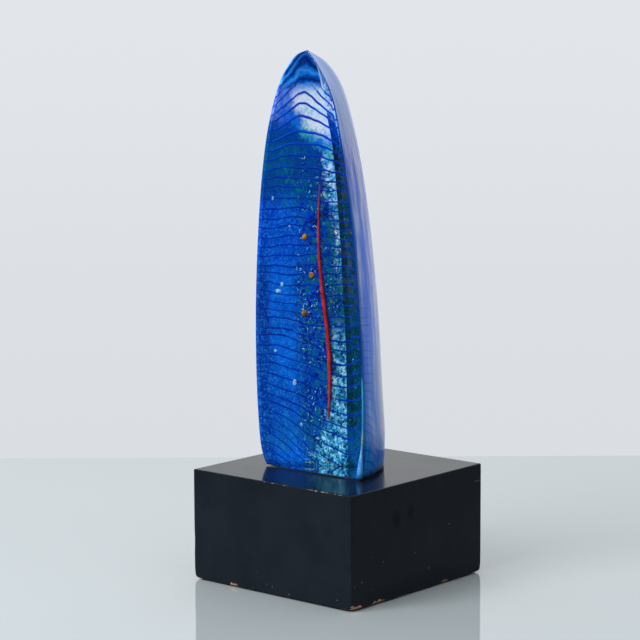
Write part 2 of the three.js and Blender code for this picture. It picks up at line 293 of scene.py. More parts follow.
class Nodes:
    """A node tree under construction."""

    def __init__(self, tree):
        self.tree = tree
        tree.nodes.clear()

    def put(self, socket, value):
        """Link a socket to another, or set its value. Colours have three numbers."""
        value = value.socket if isinstance(value, Value) else value
        if isinstance(value, bpy.types.NodeSocket):
            self.tree.links.new(value, socket)
        elif value is not None:
            socket.default_value = (*value, 1.0) if socket.type == "RGBA" else value

    def add(self, kind, values=(), **settings):
        """A node with its settings and with values for its sockets, in order or by name."""
        node = self.tree.nodes.new("ShaderNode" + kind)
        for name, setting in settings.items():
            setattr(node, name, setting)
        for key, value in values.items() if isinstance(values, dict) else enumerate(values):
            self.put(node.inputs[key], value)
        return node

    def number(self, kind, values, **settings):
        return Value(self, self.add(kind, values, **settings).outputs[0])

    def math(self, operation, *values):
        return self.number("Math", values, operation=operation)

    def split(self, vector):
        return [Value(self, socket) for socket in self.add("SeparateXYZ", [vector]).outputs]

    def mix(self, share, a, b):
        return self.add("Mix", {0: share, 6: a, 7: b}, data_type="RGBA").outputs[2]


class Surface(Nodes):
    """A material under construction: its colour is painted step by step."""

    def __init__(self, name):
        self.material = bpy.data.materials.new(name)
        self.material.use_nodes = True
        super().__init__(self.material.node_tree)
        self.output = self.add("OutputMaterial")
        self.position = self.add("TexCoord").outputs["Object"]
        self.colour = None

    def scaled(self, factors):
        return self.add("VectorMath", (self.position, factors), operation="MULTIPLY").outputs[0]

    def noise(self, scale, detail=2.0, roughness=0.5, distortion=0.0, at=None):
        values = {"Vector": at or self.position, "Scale": scale, "Detail": detail}
        values |= {"Roughness": roughness, "Distortion": distortion}
        return Value(self, self.add("TexNoise", values).outputs["Fac"])

    def cells(self, scale):
        """Distance from the middle of each of many small cells, and three random numbers for each."""
        outputs = self.add("TexVoronoi", {"Vector": self.position, "Scale": scale}).outputs
        return Value(self, outputs["Distance"]), self.split(outputs["Color"])

    def grains(self, scale):
        return self.cells(scale)[1]

    def ramp(self, value, stops):
        node = self.add("ValToRGB", [value])
        elements = node.color_ramp.elements
        while len(elements) < len(stops):
            elements.new(1.0)
        for element, (spot, colour) in zip(elements, stops):
            element.position = spot
            element.color = (*colour, 1.0)
        return node.outputs[0]

    def paint(self, colour, share):
        self.colour = self.mix(share, self.colour, colour)

    def frit(self, grains, light, dark, strength):
        """Grains painted in a light and a dark tint."""
        self.paint(light, grains[0].fade(0.62, 1.0) * strength)
        self.paint(dark, grains[1].fade(0.45, 0.0) * strength)

    def specks(self, amount, scale):
        """Small specks, more of them where the amount, from 0 to 1, is high."""
        distance, kind = self.cells(scale)
        self.paint(self.ramp(kind[0], SPECK_STOPS), kind[1].below(amount) * distance.fade(0.36, 0.24))

    def bump(self, height, distance):
        return self.add("Bump", {"Height": height, "Distance": distance}).outputs[0]

    def finish(self, roughness, normal=None, **settings):
        """The shader, joined to the output. Settings are the names of its sockets with _ for a space."""
        values = {"Base Color": self.colour, "Roughness": roughness, "Normal": normal}
        values |= {name.replace("_", " "): setting for name, setting in settings.items()}
        self.shader = self.add("BsdfPrincipled", values)
        self.put(self.output.inputs["Surface"], self.shader.outputs[0])
        return self.material


class Layer(Surface):
    """A material of a colour layer. Share is 0 at the left edge, 1 at the seam and 2 at the arris."""

    def __init__(self, name):
        super().__init__(name)
        self.share, self.count, _ = self.split(self.add("UVMap", uv_map="pattern").outputs[0])
        self.height = height_above_base(self)

    def threads(self, half_width=0.075):
        """1 on the threads and 0 between them."""
        return self.count.to_and_fro(0.5).fade(half_width * 1.35, half_width * 0.65)


def height_above_base(n):
    """Height over the glass's base in millimetres."""
    return (n.split(n.position)[2] - GLASS_BASE) * (1 / MM)


# Colours of the glass: single ones, then the stops of ramps

COBALT = (0.001, 0.035, 0.34)
AZURE = (0.001, 0.16, 0.87)
TEAL = (0.001, 0.085, 0.22)
SILVER = (0.78, 0.9, 1.0)
THREAD_BLUE = (0.001, 0.03, 0.36)
DEEP_GREEN = (0.001, 0.036, 0.062)
SHADE_BLUE = (0.001, 0.062, 0.44)
GRAIN_DARK = (0.0, 0.022, 0.26)
UMBER = (0.05, 0.056, 0.06)
AMBER_STREAK = (0.42, 0.36, 0.03)
SPECK_STOPS = [
    (0.0, (0.002, 0.008, 0.03)), (0.38, (0.004, 0.012, 0.03)), (0.43, (0.14, 0.1, 0.02)),
    (0.48, (0.04, 0.4, 0.22)), (0.64, (0.01, 0.4, 0.62)), (0.95, (0.2, 0.8, 0.9)),
]
LEFT_TO_SEAM_STOPS = [(0.1, COBALT), (0.2, AZURE), (0.43, AZURE), (0.56, COBALT), (0.8, TEAL)]
MOTTLE_STOPS = [
    (0.37, (0.001, 0.01, 0.06)), (0.44, (0.001, 0.032, 0.58)), (0.51, (0.001, 0.095, 0.72)),
    (0.57, (0.001, 0.11, 0.3)), (0.67, (0.006, 0.22, 0.18)),
]
TEAL_STOPS = [(0.4, (0.001, 0.03, 0.12)), (0.5, (0.001, 0.085, 0.3)), (0.64, (0.004, 0.17, 0.16))]
BELT_STOPS = [(0.4, (0.001, 0.045, 0.28)), (0.58, (0.001, 0.08, 0.26)), (0.7, (0.002, 0.12, 0.26))]
# pale frit colour and painted backlight of the strip beside the seam
STRIP_AND_BACKLIGHT_STOPS = [
    (0.3, (0.006, 0.035, 0.09)), (0.38, (0.01, 0.18, 0.46)), (0.48, (0.03, 0.44, 0.8)),
    (0.58, (0.2, 0.7, 0.96)), (0.72, (0.85, 0.97, 1.0)),
]
# painted backlight of the white tip
PAINTED_BACKLIGHT_STOPS = [(0.34, (0.34, 0.68, 0.84)), (0.42, (0.78, 0.96, 0.94)), (0.5, (1.0, 1.0, 0.93))]
POINT_STOPS = [
    (0.1, (0.001, 0.03, 0.15)), (0.18, (0.001, 0.085, 0.49)), (0.44, (0.001, 0.12, 0.54)),
    (0.5, (0.008, 0.31, 0.85)), (0.76, (0.01, 0.36, 0.85)), (0.9, (0.12, 0.38, 1.0)),
]
BLOT_STOPS = [
    (0.0, (0.002, 0.01, 0.03)), (0.35, (0.01, 0.045, 0.035)), (0.55, (0.06, 0.035, 0.015)),
    (0.72, (0.01, 0.2, 0.14)), (0.9, (0.02, 0.3, 0.46)),
]
TOE_STOPS = [(0.38, (0.03, 0.24, 0.7)), (0.48, (0.16, 0.46, 0.78)), (0.6, (0.26, 0.6, 0.66))]
# lilac tones of the side face, partly a painted reflection of the pale backdrop
SIDE_AND_REFLECTION_STOPS = [
    (0.34, (0.07, 0.15, 0.8)), (0.43, (0.19, 0.26, 0.78)), (0.5, (0.36, 0.42, 0.94)),
    (0.58, (0.6, 0.68, 1.0)), (0.68, (0.38, 0.42, 0.5)),
]


# Glass materials. Heights are in millimetres, and a last factor is the strength of the paint.

def blue_inner_material():
    n = Layer("blue_layer_inner")
    share, height = n.share, n.height
    cloud, slow_cloud = n.noise(55, 4, 0.6), n.noise(24, 3, 0.6)
    blotch = n.noise(190, 4, 0.65, 0.5)
    torn = n.noise(430, 4, 0.7, 0.6) - 0.5
    mixed = n.noise(150, 4, 0.65, 0.8, n.scaled((1, 1, 0.6))) + torn * 0.8
    frit, fine_frit = n.grains(560), n.grains(1150)
    drift = share + (cloud - 0.5) * 0.28
    rough = drift + (blotch - 0.5) * 0.22
    n.colour = n.ramp(drift, LEFT_TO_SEAM_STOPS)
    n.paint((0.001, 0.045, 0.34), share.fade(0.1, 0.03) * 0.75)
    n.paint(SHADE_BLUE, slow_cloud.fade(0.44, 0.6) * 0.55)
    n.paint((0.001, 0.062, 0.66), height.window(146, 196, 14) * 0.55)
    # painted shade: darker teal clouds towards the foot
    n.paint((0.004, 0.14, 0.36), height.fade(50, 8) * cloud.fade(0.44, 0.6) * 0.65)
    n.frit(frit, (0.03, 0.46, 1.0), GRAIN_DARK, 0.26)
    n.frit(fine_frit, (0.03, 0.46, 1.0), GRAIN_DARK, 0.34)
    # mottled islands towards the seam
    n.paint(n.ramp(mixed, MOTTLE_STOPS), drift.fade(0.48, 0.68) * 0.92)
    n.paint(n.ramp(mixed, TEAL_STOPS), rough.fade(0.74, 0.9) * height.fade(212, 180) * 0.72)
    # teal belt under the pale tip
    belt = height.window(196, 250, 10)
    n.paint(n.ramp(cloud, BELT_STOPS), belt * rough.fade(1.0, 0.78) * 0.95)
    n.paint((0.002, 0.13, 0.5), belt * fine_frit[0].fade(0.45, 1.0) * 0.45)
    n.paint((0.0, 0.03, 0.17), belt * frit[1].fade(0.5, 0.0) * 0.4)
    spotted = height.fade(240, 218) * height.fade(168, 196) * drift.window(0.26, 0.62, 0.08)
    n.paint((0.004, 0.24, 0.22), spotted * mixed.fade(0.52, 0.66) * 0.8)
    # bright strip beside the seam, wide at the foot and narrow under the tip: pale frit colour with painted
    # light shining through from behind
    wide = rough + height.fade(62, 4) * 0.24
    narrow = rough + height.fade(162, 206) * 0.11 + torn * 0.3
    low_strip = height.fade(114, 80) * wide.fade(0.84, 0.93)
    high_strip = height.fade(126, 146) * narrow.fade(0.93, 1.06)
    speckled = blotch + torn * 1.1 - height.fade(56, 14) * 0.07 + height.fade(150, 190) * 0.06
    n.paint(n.ramp(speckled, STRIP_AND_BACKLIGHT_STOPS), low_strip.most(high_strip))
    # lilac shoulder, white tip with ragged edges and a deep blue point; the white tip is painted light from
    # behind shining through clear glass
    lilac = n.mix(blotch.fade(0.42, 0.56), (0.03, 0.15, 0.74), (0.22, 0.38, 0.9))
    n.paint(lilac, height.window(254, 286, 8) * rough.fade(0.42, 0.2) * 0.75)
    edge = height - 16 + share * 38 + (cloud - 0.5) * 34 + (blotch - 0.5) * 16 + torn * 20
    rim = edge.fade(243, 252) * height.fade(262, 250) * rough.fade(0.16, 0.42)
    n.paint(n.mix(cloud.fade(0.44, 0.6), (0.008, 0.22, 0.78), (0.05, 0.5, 0.5)), rim * 0.85)
    pale = n.mix(fine_frit[1].fade(0.5, 0.0) * 0.36, n.ramp(cloud, PAINTED_BACKLIGHT_STOPS), (0.16, 0.46, 0.76))
    n.paint(pale, edge.fade(252, 268) * height.fade(285, 270) * rough.fade(0.26, 0.52))
    across = share - 0.66
    bands = across * across * 8 + height * 0.17 + cloud * 3.0 + blotch * 0.9
    n.paint(n.ramp(bands.to_and_fro(1), POINT_STOPS), (height + torn * 16).fade(273, 280))
    n.paint(SILVER, share.fade(0.955, 0.975) * height.fade(240, 262))
    # blots near the seam, specks in drifts, then threads
    distance, kind = n.cells(300)
    chosen = kind[1].below(rough.fade(0.6, 0.84) * height.fade(240, 214) * 0.42)
    n.paint(n.ramp(kind[0], BLOT_STOPS), chosen * (distance + torn * 0.9).fade(0.4, 0.28) * 0.85)
    cluster = n.noise(120, 3, 0.6, at=n.scaled((1, 1, 0.4))).fade(0.47, 0.6)
    sprinkled = drift.fade(0.44, 0.62) * height.fade(226, 190) * cluster
    sprinkled *= height.fade(70, 12) * 0.4 + 0.26
    n.specks(sprinkled, 480)
    n.specks(sprinkled * 0.8, 900)
    below_point = height.fade(280, 270)
    n.paint((0.001, 0.055, 0.54), n.threads(0.11) * height.fade(206, 236) * below_point * 0.75)
    n.paint(THREAD_BLUE, n.threads(0.06) * below_point)
    return n.finish(0.6, n.bump(frit[2], 0.0001), Specular_IOR_Level=0.0)


def side_inner_material():
    n = Layer("side_layer_inner")
    share, height = n.share, n.height
    cloud = n.noise(90, 4, 0.6)
    frit = n.grains(700)
    n.colour = n.mix(cloud.fade(0.42, 0.64), DEEP_GREEN, (0.001, 0.045, 0.13))
    # navy, then pale, towards the tip: the dark navy beside the seam is painted shadow, and the pale tip is
    # painted light from behind shining through clear glass
    navy = n.mix(height.fade(230, 246), (0.001, 0.018, 0.1), (0.001, 0.048, 0.4))
    navy = n.mix(share.fade(1.35, 1.85), navy, (0.003, 0.16, 0.72))
    n.paint(navy, height.fade(196, 230))
    pale = n.mix(cloud.fade(0.42, 0.58), (0.24, 0.54, 0.92), (0.8, 0.9, 1.0))
    n.paint(pale, (height + (share - 1) * 28 + (cloud - 0.5) * 20).fade(252, 262))
    n.paint((0.006, 0.15, 0.24), frit[0].fade(0.6, 1.0) * 0.45)
    n.paint((0.0, 0.012, 0.03), frit[1].fade(0.5, 0.0) * 0.45)
    # bright run beside the arris, umber patches, specks and threads
    run = n.mix(height.fade(206, 228), (0.001, 0.06, 0.48), (0.012, 0.27, 0.85))
    run = n.mix((height + cloud * 20).fade(240, 252), run, (0.16, 0.58, 0.92))
    past_edge = share - (height.fade(256, 180) * 0.2 + 1.24)
    n.paint(run, past_edge.fade(0, 0.05) * height.fade(140, 180) * 0.92)
    patches = n.noise(170, 3, 0.6).fade(0.46, 0.62) * share.fade(1.8, 1.6)
    n.paint(UMBER, height.window(118, 226, 14) * patches * 0.6)
    n.specks(0.03, 800)
    n.paint((0.002, 0.05, 0.46), n.threads() * height.fade(280, 270))
    # foot tint, and the cut edge along the arris
    n.paint((0.002, 0.12, 0.4), height.fade(40, 8) * cloud.fade(0.4, 0.6) * 0.7)
    cyan = height.window(14, 74, 10) * cloud.fade(0.36, 0.5) * 0.75
    cut = n.mix(cyan, (0.001, 0.034, 0.26), (0.03, 0.34, 0.52))
    cut = n.mix(height.fade(26, 16), cut, n.ramp(cloud, TOE_STOPS))
    cut = n.mix(height.window(27, 33, 1.5) * frit[1].fade(0.3, 0.6), cut, AMBER_STREAK)
    n.paint(cut, share.fade(1.955, 1.98))
    return n.finish(0.6, n.bump(frit[2], 0.0001), Specular_IOR_Level=0.0)


def blue_outer_material():
    n = Layer("blue_layer_outer")
    stops = [(0.3, COBALT), (0.48, (0.002, 0.07, 0.52)), (0.62, AZURE), (0.75, TEAL)]
    n.colour = n.ramp(n.noise(45, 4, 0.6), stops)
    n.paint((0.3, 0.48, 0.98), n.height.fade(236, 264) * 0.6)
    n.frit(n.grains(620), (0.03, 0.38, 0.95), GRAIN_DARK, 0.45)
    n.paint((0.0, 0.012, 0.2), n.threads())
    return n.finish(0.07, Specular_IOR_Level=0.3)


def side_outer_material():
    n = Layer("side_layer_outer")
    share, height = n.share, n.height
    sway = share + n.noise(11) * 0.16
    broad_at = n.add("CombineXYZ", (sway * 6, height * 0.008)).outputs[0]
    fine_at = n.add("CombineXYZ", (sway * 38, height * 0.02)).outputs[0]
    broad = n.noise(1.6, 3, 0.55, at=broad_at)
    fine = n.noise(1.6, 4, 0.7, at=fine_at)
    # the lilac tones, pale streaks and paler top are the layer's own blue under a painted reflection of the
    # pale backdrop
    n.colour = n.ramp(broad, SIDE_AND_REFLECTION_STOPS)
    n.paint((0.74, 0.8, 0.98), fine.fade(0.51, 0.62) * 0.65)
    n.paint((0.05, 0.06, 0.46), fine.fade(0.48, 0.38) * 0.6)
    n.paint((0.46, 0.62, 1.0), height.fade(222, 262) * 0.72)
    # bluer near the arris, grey-green behind it at the foot
    near = share.fade(1.5, 1.86) * height.fade(244, 168) * broad.fade(0.68, 0.5)
    n.paint((0.06, 0.22, 0.92), near * 0.82)
    n.paint((0.03, 0.21, 0.6), height.fade(112, 40) * share.fade(1.56, 1.78) * 0.5)
    grey_green = n.mix(fine.fade(0.4, 0.6), (0.16, 0.25, 0.34), (0.42, 0.52, 0.54))
    n.paint(grey_green, height.fade(124, 60) * share.fade(1.74, 1.58) * 0.72)
    foot = (height + broad * 50).fade(60, 40)
    n.paint(n.mix(fine.fade(0.42, 0.56), (0.001, 0.1, 0.74), (0.001, 0.27, 0.72)), foot * 0.97)
    # threads show through at the foot, and the cut edge along the arris
    beside = share.fade(1.74, 1.9) * height.fade(138, 112) * 0.45
    n.paint((0.001, 0.03, 0.55), n.threads() * (foot * 0.8).most(beside))
    n.paint((0.004, 0.1, 0.26), share.fade(1.955, 1.975) * height.fade(250, 200) * 0.7)
    toe = share.above(height.fade(22, 2) * -0.024 + 2.0)
    n.paint((0.14, 0.42, 0.76), toe * height.fade(26, 20))
    return n.finish(0.1, n.bump(fine, 0.00005), Specular_IOR_Level=0.035)


def clear_glass_material():
    """Clear glass that lets light straight through in place of casting a shadow."""
    n = Surface("clear_glass")
    n.colour = (0.97, 0.99, 1.0)
    n.finish(n.noise(30, 3, 0.6).fade(0.5, 0.9) * 0.03, Transmission_Weight=1.0, IOR=1.5)
    shadow = n.add("LightPath").outputs["Is Shadow Ray"]
    clear = n.add("BsdfTransparent").outputs[0]
    both = n.add("MixShader", (shadow, n.shader.outputs[0], clear))
    n.put(n.output.inputs["Surface"], both.outputs[0])
    return n.material


def glassy_material(name, dark, light, scale, roughness=0.15, metallic=0.0, tip=None):
    """Solid colour glass with faint clouds, and another colour in the tip where one is given."""
    n = Surface(name)
    n.colour = n.mix(n.noise(scale, 3, 0.6).fade(0.35, 0.65), dark, light)
    if tip:
        n.paint(tip, height_above_base(n).fade(210, 246))
    return n.finish(roughness, Metallic=metallic, Specular_IOR_Level=0.1)


# Plinth materials

FOOT_ARC_CENTRE, FOOT_ARC_RADIUS = (-51.1, -40.4), 97.6
# Finger marks on the right face: place across and up in metres, half-width and half-height in millimetres
FINGER_MARKS = ((-0.025, 0.058, 4.8, 6.8), (-0.0095, 0.0607, 3.8, 6.4))
SCRATCH_FRONT, SCRATCH_BACK, SCRATCH_HEIGHT = 0.0665, 0.0735, 0.07
CHIPPED_WOOD_STOPS = [(0.35, (0.26, 0.11, 0.05)), (0.65, (0.7, 0.4, 0.25))]


def plinth_edge_distance(x, y, z):
    """Distance from the nearest edge of the plinth's outside, in millimetres."""
    beside_x, beside_y = PLINTH_HALF - x.size(), PLINTH_HALF - y.size()
    under = (PLINTH_TOP - z).least(z - BOARD_FOOT)
    farther = beside_x.most(beside_y).least(under)
    return beside_x.least(beside_y).most(farther) * (1 / MM)


def under_glass(n, x, y):
    """How far inside the outline of the glass's foot a place on the lid lies, in millimetres."""
    x, y = x * (1 / MM), y * (1 / MM)
    left, right, back = (edge[0][:2] for edge in (LEFT_EDGE, RIGHT_ARRIS, BACK_SPINE))
    middle = [(a + b) / 2 for a, b in zip(left, right)]
    aside = x - middle[0]
    front = y - (middle[1] - 2.0) + aside * aside * (-2.0 / (right[0] - middle[0]) ** 2)
    rear = [(b - a) / dist(left, back) for a, b in zip(left, back)]
    behind = (x - left[0]) * rear[1] - (y - left[1]) * rear[0]
    across, along = x - FOOT_ARC_CENTRE[0], y - FOOT_ARC_CENTRE[1]
    away = n.math("SQRT", across * across + along * along)
    return front.least(behind).least(FOOT_ARC_RADIUS - away)


def black_paint_material(name, gloss, specular, dark, light):
    """Satin paint, worn to the wood where the wear of the mesh is high."""
    n = Surface(name)
    wear = Value(n, n.add("Attribute", attribute_name="wear").outputs["Fac"])
    x, y, z = n.split(n.position)
    on_right = x.above(PLINTH_HALF - 2 * MM)
    n.colour = n.mix(n.noise(28, 4, 0.6).fade(0.3, 0.7), dark, light)
    for across, up, half_width, half_height in FINGER_MARKS:
        away_y, away_z = (y - across) * (1 / (half_width * MM)), (z - up) * (1 / (half_height * MM))
        mark = (away_y * away_y + away_z * away_z).fade(1.5, 0.3)
        n.paint((0.001, 0.002, 0.002), mark * on_right * 0.68)
    line = (z - SCRATCH_HEIGHT).size().fade(0.5 * MM, 0.2 * MM)
    n.paint((0.16, 0.16, 0.17), line * y.window(SCRATCH_FRONT, SCRATCH_BACK, MM) * on_right * 0.4)
    distance, kind = n.cells(250)
    dust = kind[1].below(z.fade(0.04, 0.0) * 0.13 + 0.07) * distance.fade(0.13, 0.09)
    n.paint((0.3, 0.3, 0.3), dust * (kind[2] * 0.6 + 0.12))
    # bare wood
    steepness = z.fade(0.01, 0.03) * -0.45 - 0.22
    ragged = (n.noise(330, 4, 0.7) - 0.5) * 1.9
    worn = wear + ragged + plinth_edge_distance(x, y, z) * steepness
    bare = worn.fade(0.46, 0.54) * wear.fade(0.05, 0.2)
    wood = n.ramp(n.noise(400, 4, 0.6, at=n.scaled((1, 1, 6))), CHIPPED_WOOD_STOPS)
    n.paint(n.mix(wear.fade(0.8, 0.5), wood, (0.2, 0.165, 0.15)), bare)
    # smears, and duller paint under the glass
    roughness = (n.noise(40, 4, 0.7).fade(0.35, 0.75) * 0.1 + gloss).most(bare * 0.8)
    dulled = under_glass(n, x, y).fade(0.2, 0.9) * z.above(PLINTH_TOP - MM)
    roughness = roughness.most(dulled * 0.7)
    relief = n.noise(700, 3, 0.5) * 0.12 - bare
    return n.finish(roughness, n.bump(relief, 0.0002), Specular_IOR_Level=specular)


def raw_wood_material():
    n = Surface("raw_wood")
    rings = n.noise(6, 4, 0.6, 0.6, n.scaled((4, 60, 60)))
    fibre = n.noise(6, 3, 0.6, at=n.scaled((8, 300, 300)))
    stops = [(0.3, (0.3, 0.15, 0.06)), (0.5, (0.48, 0.27, 0.12)), (0.7, (0.6, 0.38, 0.2))]
    n.colour = n.ramp(rings, stops)
    n.paint((0.22, 0.1, 0.04), fibre.fade(0.5, 0.8) * 0.4)
    return n.finish(0.75, n.bump(fibre, 0.0003))


def steel_material():
    n = Surface("screw_steel")
    turned = n.noise(500, 2, 0.6, at=n.scaled((1, 1, 10)))
    n.colour = n.mix(turned, (0.55, 0.5, 0.36), (0.66, 0.62, 0.5))
    return n.finish(turned * 0.2 + 0.25, n.bump(turned, 0.0001), Metallic=1.0)


def felt_material():
    n = Surface("felt")
    fibres = n.noise(1800, 4, 0.8)
    n.colour = n.mix(fibres.fade(0.4, 0.7), (0.018, 0.018, 0.02), (0.06, 0.06, 0.064))
    return n.finish(0.95, n.bump(fibres, 0.0004), Sheen_Weight=0.3)


def bumper_material():
    n = Surface("clear_bumper")
    n.colour = (0.86, 0.89, 0.9)
    return n.finish(n.noise(600) * 0.15 + 0.12, Transmission_Weight=0.6, IOR=1.43)


# Mesh building

def add_piece(name, vertices, faces, body, materials, replaced=(), soft=True):
    mesh = bpy.data.meshes.new(name)
    mesh.from_pydata([tuple(map(float, v)) for v in vertices], [], faces)
    for material in materials:
        mesh.materials.append(material)
    if soft:
        mesh.shade_smooth()
    mesh.update()
    piece = bpy.data.objects.new(name, mesh)
    scene.collection.objects.link(piece)
    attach(piece, body)
    if replaced:
        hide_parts(*replaced)
    return piece


def loft(rings):
    """Faces between rings of points, with flat ends. Rings run counter-clockwise seen from the far end."""
    count = len(rings[0])
    vertices = [point for ring in rings for point in ring]
    faces = [
        (a + i, a + (i + 1) % count, a + count + (i + 1) % count, a + count + i)
        for a in range(0, len(vertices) - count, count)
        for i in range(count)
    ]
    faces.append(tuple(reversed(range(count))))
    faces.append(tuple(range(len(vertices) - count, len(vertices))))
    return vertices, faces


def add_glass(name, parts, material, replaced=()):
    """One piece of the glass from several lists of vertices and faces."""
    vertices, faces = [], []
    for part_vertices, part_faces in parts:
        start = len(vertices)
        vertices += part_vertices
        faces += [tuple(start + v for v in face) for face in part_faces]
    add_piece(name, vertices, faces, "glass", [material], replaced)


def turns(count):
    """Even angles around a full turn."""
    return [2 * pi * i / count for i in range(count)]


def eased(count):
    """Numbers from 0 to 1, closer together near both ends."""
    return [(1 - cos(pi * i / count)) / 2 for i in range(count + 1)]


def bend(*points):
    """Points of a small rounding between the first and last point, without the ends."""
    return [bezier(points, step / 5)[0] for step in range(1, 5)]


def tube(path, radii, sides=8, flat=1.0):
    """A closed tube along a path; flat below 1 thins it along its first cross direction."""
    rings = []
    for i, spot in enumerate(path):
        ahead = Vector(path[min(i + 1, len(path) - 1)]) - Vector(path[max(i - 1, 0)])
        ahead.normalize()
        first = ahead.cross(Vector((0, 0, 1)))
        if first.length < 0.2:
            first = ahead.cross(Vector((0, 1, 0)))
        first.normalize()
        second = ahead.cross(first)
        rings.append([
            tuple(Vector(spot) + (
                first * (cos(angle) * radii[i] * flat) + second * (sin(angle) * radii[i])
            ))
            for angle in turns(sides)
        ])
    return loft(rings)


def blob(centre, size, turn, ripple=0.0, seed=0, sides=16, rows=10):
    """A closed rounded blob: size is its three half-widths, turn a rotation."""
    source = random.Random(seed)
    shift = [source.uniform(0, 6) for _ in range(3)]
    vertices, faces = [], []
    for row in range(rows + 1):
        polar = pi * row / rows
        reach = sin(polar)
        for angle in turns(sides if 0 < row < rows else 1):
            way = Vector((reach * cos(angle), reach * sin(angle), cos(polar)))
            swell = 1 + ripple * sin(3 * way.x + shift[0]) * sin(3 * way.y + shift[1])
            spot = Vector([way[k] * size[k] * swell for k in range(3)])
            vertices.append(tuple(turn @ spot + Vector(centre)))
    last = len(vertices) - 1
    bottom = last - sides
    for side in range(sides):
        following = (side + 1) % sides
        faces.append((0, 1 + side, 1 + following))
        faces.append((last, bottom + following, bottom + side))
        for row in range(rows - 2):
            a, b = 1 + row * sides, 1 + (row + 1) * sides
            faces.append((a + side, b + side, b + following, a + following))
    return vertices, faces


# Plinth boards with rounded, chipped arrises. A chip is a place on an edge, its half-length, wear and depth.

CHIPS = (
    ((0.004, -1, 1), 34, 0.62, 0.0),
    ((0.05, -1, 1), 27, 0.7, 0.1),
    ((-0.052, -1, 1), 16, 0.54, 0.0),
    ((0.043, -1, 1), 2.6, 0.8, 0.2),
    ((0.064, -1, 1), 2.4, 0.8, 0.2),
    ((1, -0.069, 1), 5.0, 0.62, 0.1),
    ((1, 0.07, 1), 4.0, 0.62, 0.5),
    ((1, -0.069, -1), 7.0, 1.25, 1.3),
    ((1, -0.0455, -1), 8.0, 1.1, 0.9),
    ((1, -0.02, -1), 9.0, 0.45, 0.1),
    ((1, 0.031, -1), 4.2, 1.15, 0.9),
    ((-0.036, -1, -1), 4.6, 1.1, 0.7),
    ((0.068, -1, -1), 4.0, 0.6, 0.4),
    ((-1, 0.02, 1), 12.0, 0.6, 0.3),
    ((-1, -0.048, -1), 6.0, 1.05, 0.8),
    ((0.018, 1, 1), 16.0, 0.55, 0.2),
    ((-0.033, 1, -1), 7.0, 1.1, 0.8),
    ((0.06, 1, -1), 5.0, 1.0, 0.8),
    ((-1, -1, 0.03), 5.0, 0.85, 0.5),
)
CHIP_REACH = 5 * MM
CORNER_WEAR, CORNER_REACH = 1.6 * MM, 4.0 * MM
BOX_LOW = np.array([-PLINTH_HALF, -PLINTH_HALF, BOARD_FOOT])
BOX_HIGH = np.array([PLINTH_HALF, PLINTH_HALF, PLINTH_TOP])
# Distances of the first rows of points from an edge, in millimetres
CLOSE_ROWS = (0.0, 0.25, 0.55, 0.9, 1.4, 2.1, 3.2, 5.0)
ROW_SPACING = 0.8 * MM


def chip_places():
    """Middles of the chips in the frame: a whole number means that face of the plinth."""
    out = []
    for spot, half_length, strength, depth in CHIPS:
        faces = [isinstance(value, int) for value in spot]
        centre = [
            (BOX_HIGH if value > 0 else BOX_LOW)[axis] if faces[axis] else value
            for axis, value in enumerate(spot)
        ]
        out.append((np.array(centre), faces.index(False), half_length * MM, strength, depth * MM))
    return out


chips = chip_places()


def rounded(point):
    """A point of the sharp box moved onto the box with rounded, chipped edges, and how worn it is there."""
    point = np.array(point, float)
    radius, wear = ARRIS_RADIUS, 0.0
    for centre, along, half_length, strength, depth in chips:
        offset = point - centre
        across = norm(np.delete(offset, along))
        share = exp(-((offset[along] / half_length) ** 4) - (across / CHIP_REACH) ** 2)
        radius += depth * share
        wear = max(wear, strength * share)
    corner = np.minimum(np.abs(point - BOX_LOW), np.abs(point - BOX_HIGH))
    corner[2] = abs(point[2] - BOARD_FOOT)
    radius += CORNER_WEAR * hump(norm(corner), CORNER_REACH)
    inner = np.clip(point, BOX_LOW + radius, BOX_HIGH - radius)
    away = point - inner
    length = norm(away)
    if length < 1e-9:
        return tuple(point), wear
    return tuple(inner + away / length * radius), wear


def add_board(name, rings, material, replaced):
    """A board through rings of points, each with its wear."""
    vertices, faces = loft([[spot for spot, _ in ring] for ring in rings])
    piece = add_piece(name, vertices, faces, "plinth", [material], [replaced])
    values = piece.data.attributes.new("wear", "FLOAT", "POINT")
    values.data.foreach_set("value", [wear for ring in rings for _, wear in ring])


def edge_steps():
    """Places along an edge of the plinth, evenly spaced but closer near the ends."""
    close = [row * MM for row in CLOSE_ROWS[:6]]
    middle = 2 * (PLINTH_HALF - close[-1])
    count = round(middle / ROW_SPACING)
    steps = [-PLINTH_HALF + row for row in close]
    steps += [-PLINTH_HALF + close[-1] + middle * i / count for i in range(1, count)]
    return steps + [PLINTH_HALF - row for row in reversed(close)]


def side_board(name, quarter, replaced):
    """A side board: its profile, from the top mitre down and up the inner face, swept between mitres."""
    close = [*CLOSE_ROWS, 8.0]
    top, foot, thick = PLINTH_TOP, BOARD_FOOT, BOARD_THICKNESS
    span = top - foot
    outer = [top - row * MM for row in close]
    outer += [top - span * i / 16 for i in range(3, 14)]
    outer += [foot + row * MM for row in reversed(close)]
    profile = [(0.0, z, True) for z in outer]
    profile += [(row * MM, foot, True) for row in close[1:]]
    profile += [(thick, foot, False), (thick, foot + span / 2, False), (thick, top - thick, False)]
    turn = np.array(Matrix.Rotation(quarter * pi / 2, 3, "Z"))
    rings = []
    for step in edge_steps():
        ring = []
        for depth, z, outside in profile:
            spot = turn @ np.array([step / PLINTH_HALF * (PLINTH_HALF - depth), depth - PLINTH_HALF, z])
            ring.append(rounded(spot) if outside else (tuple(spot), 0.0))
        rings.append(ring)
    add_board(name, rings, side_paint, replaced)


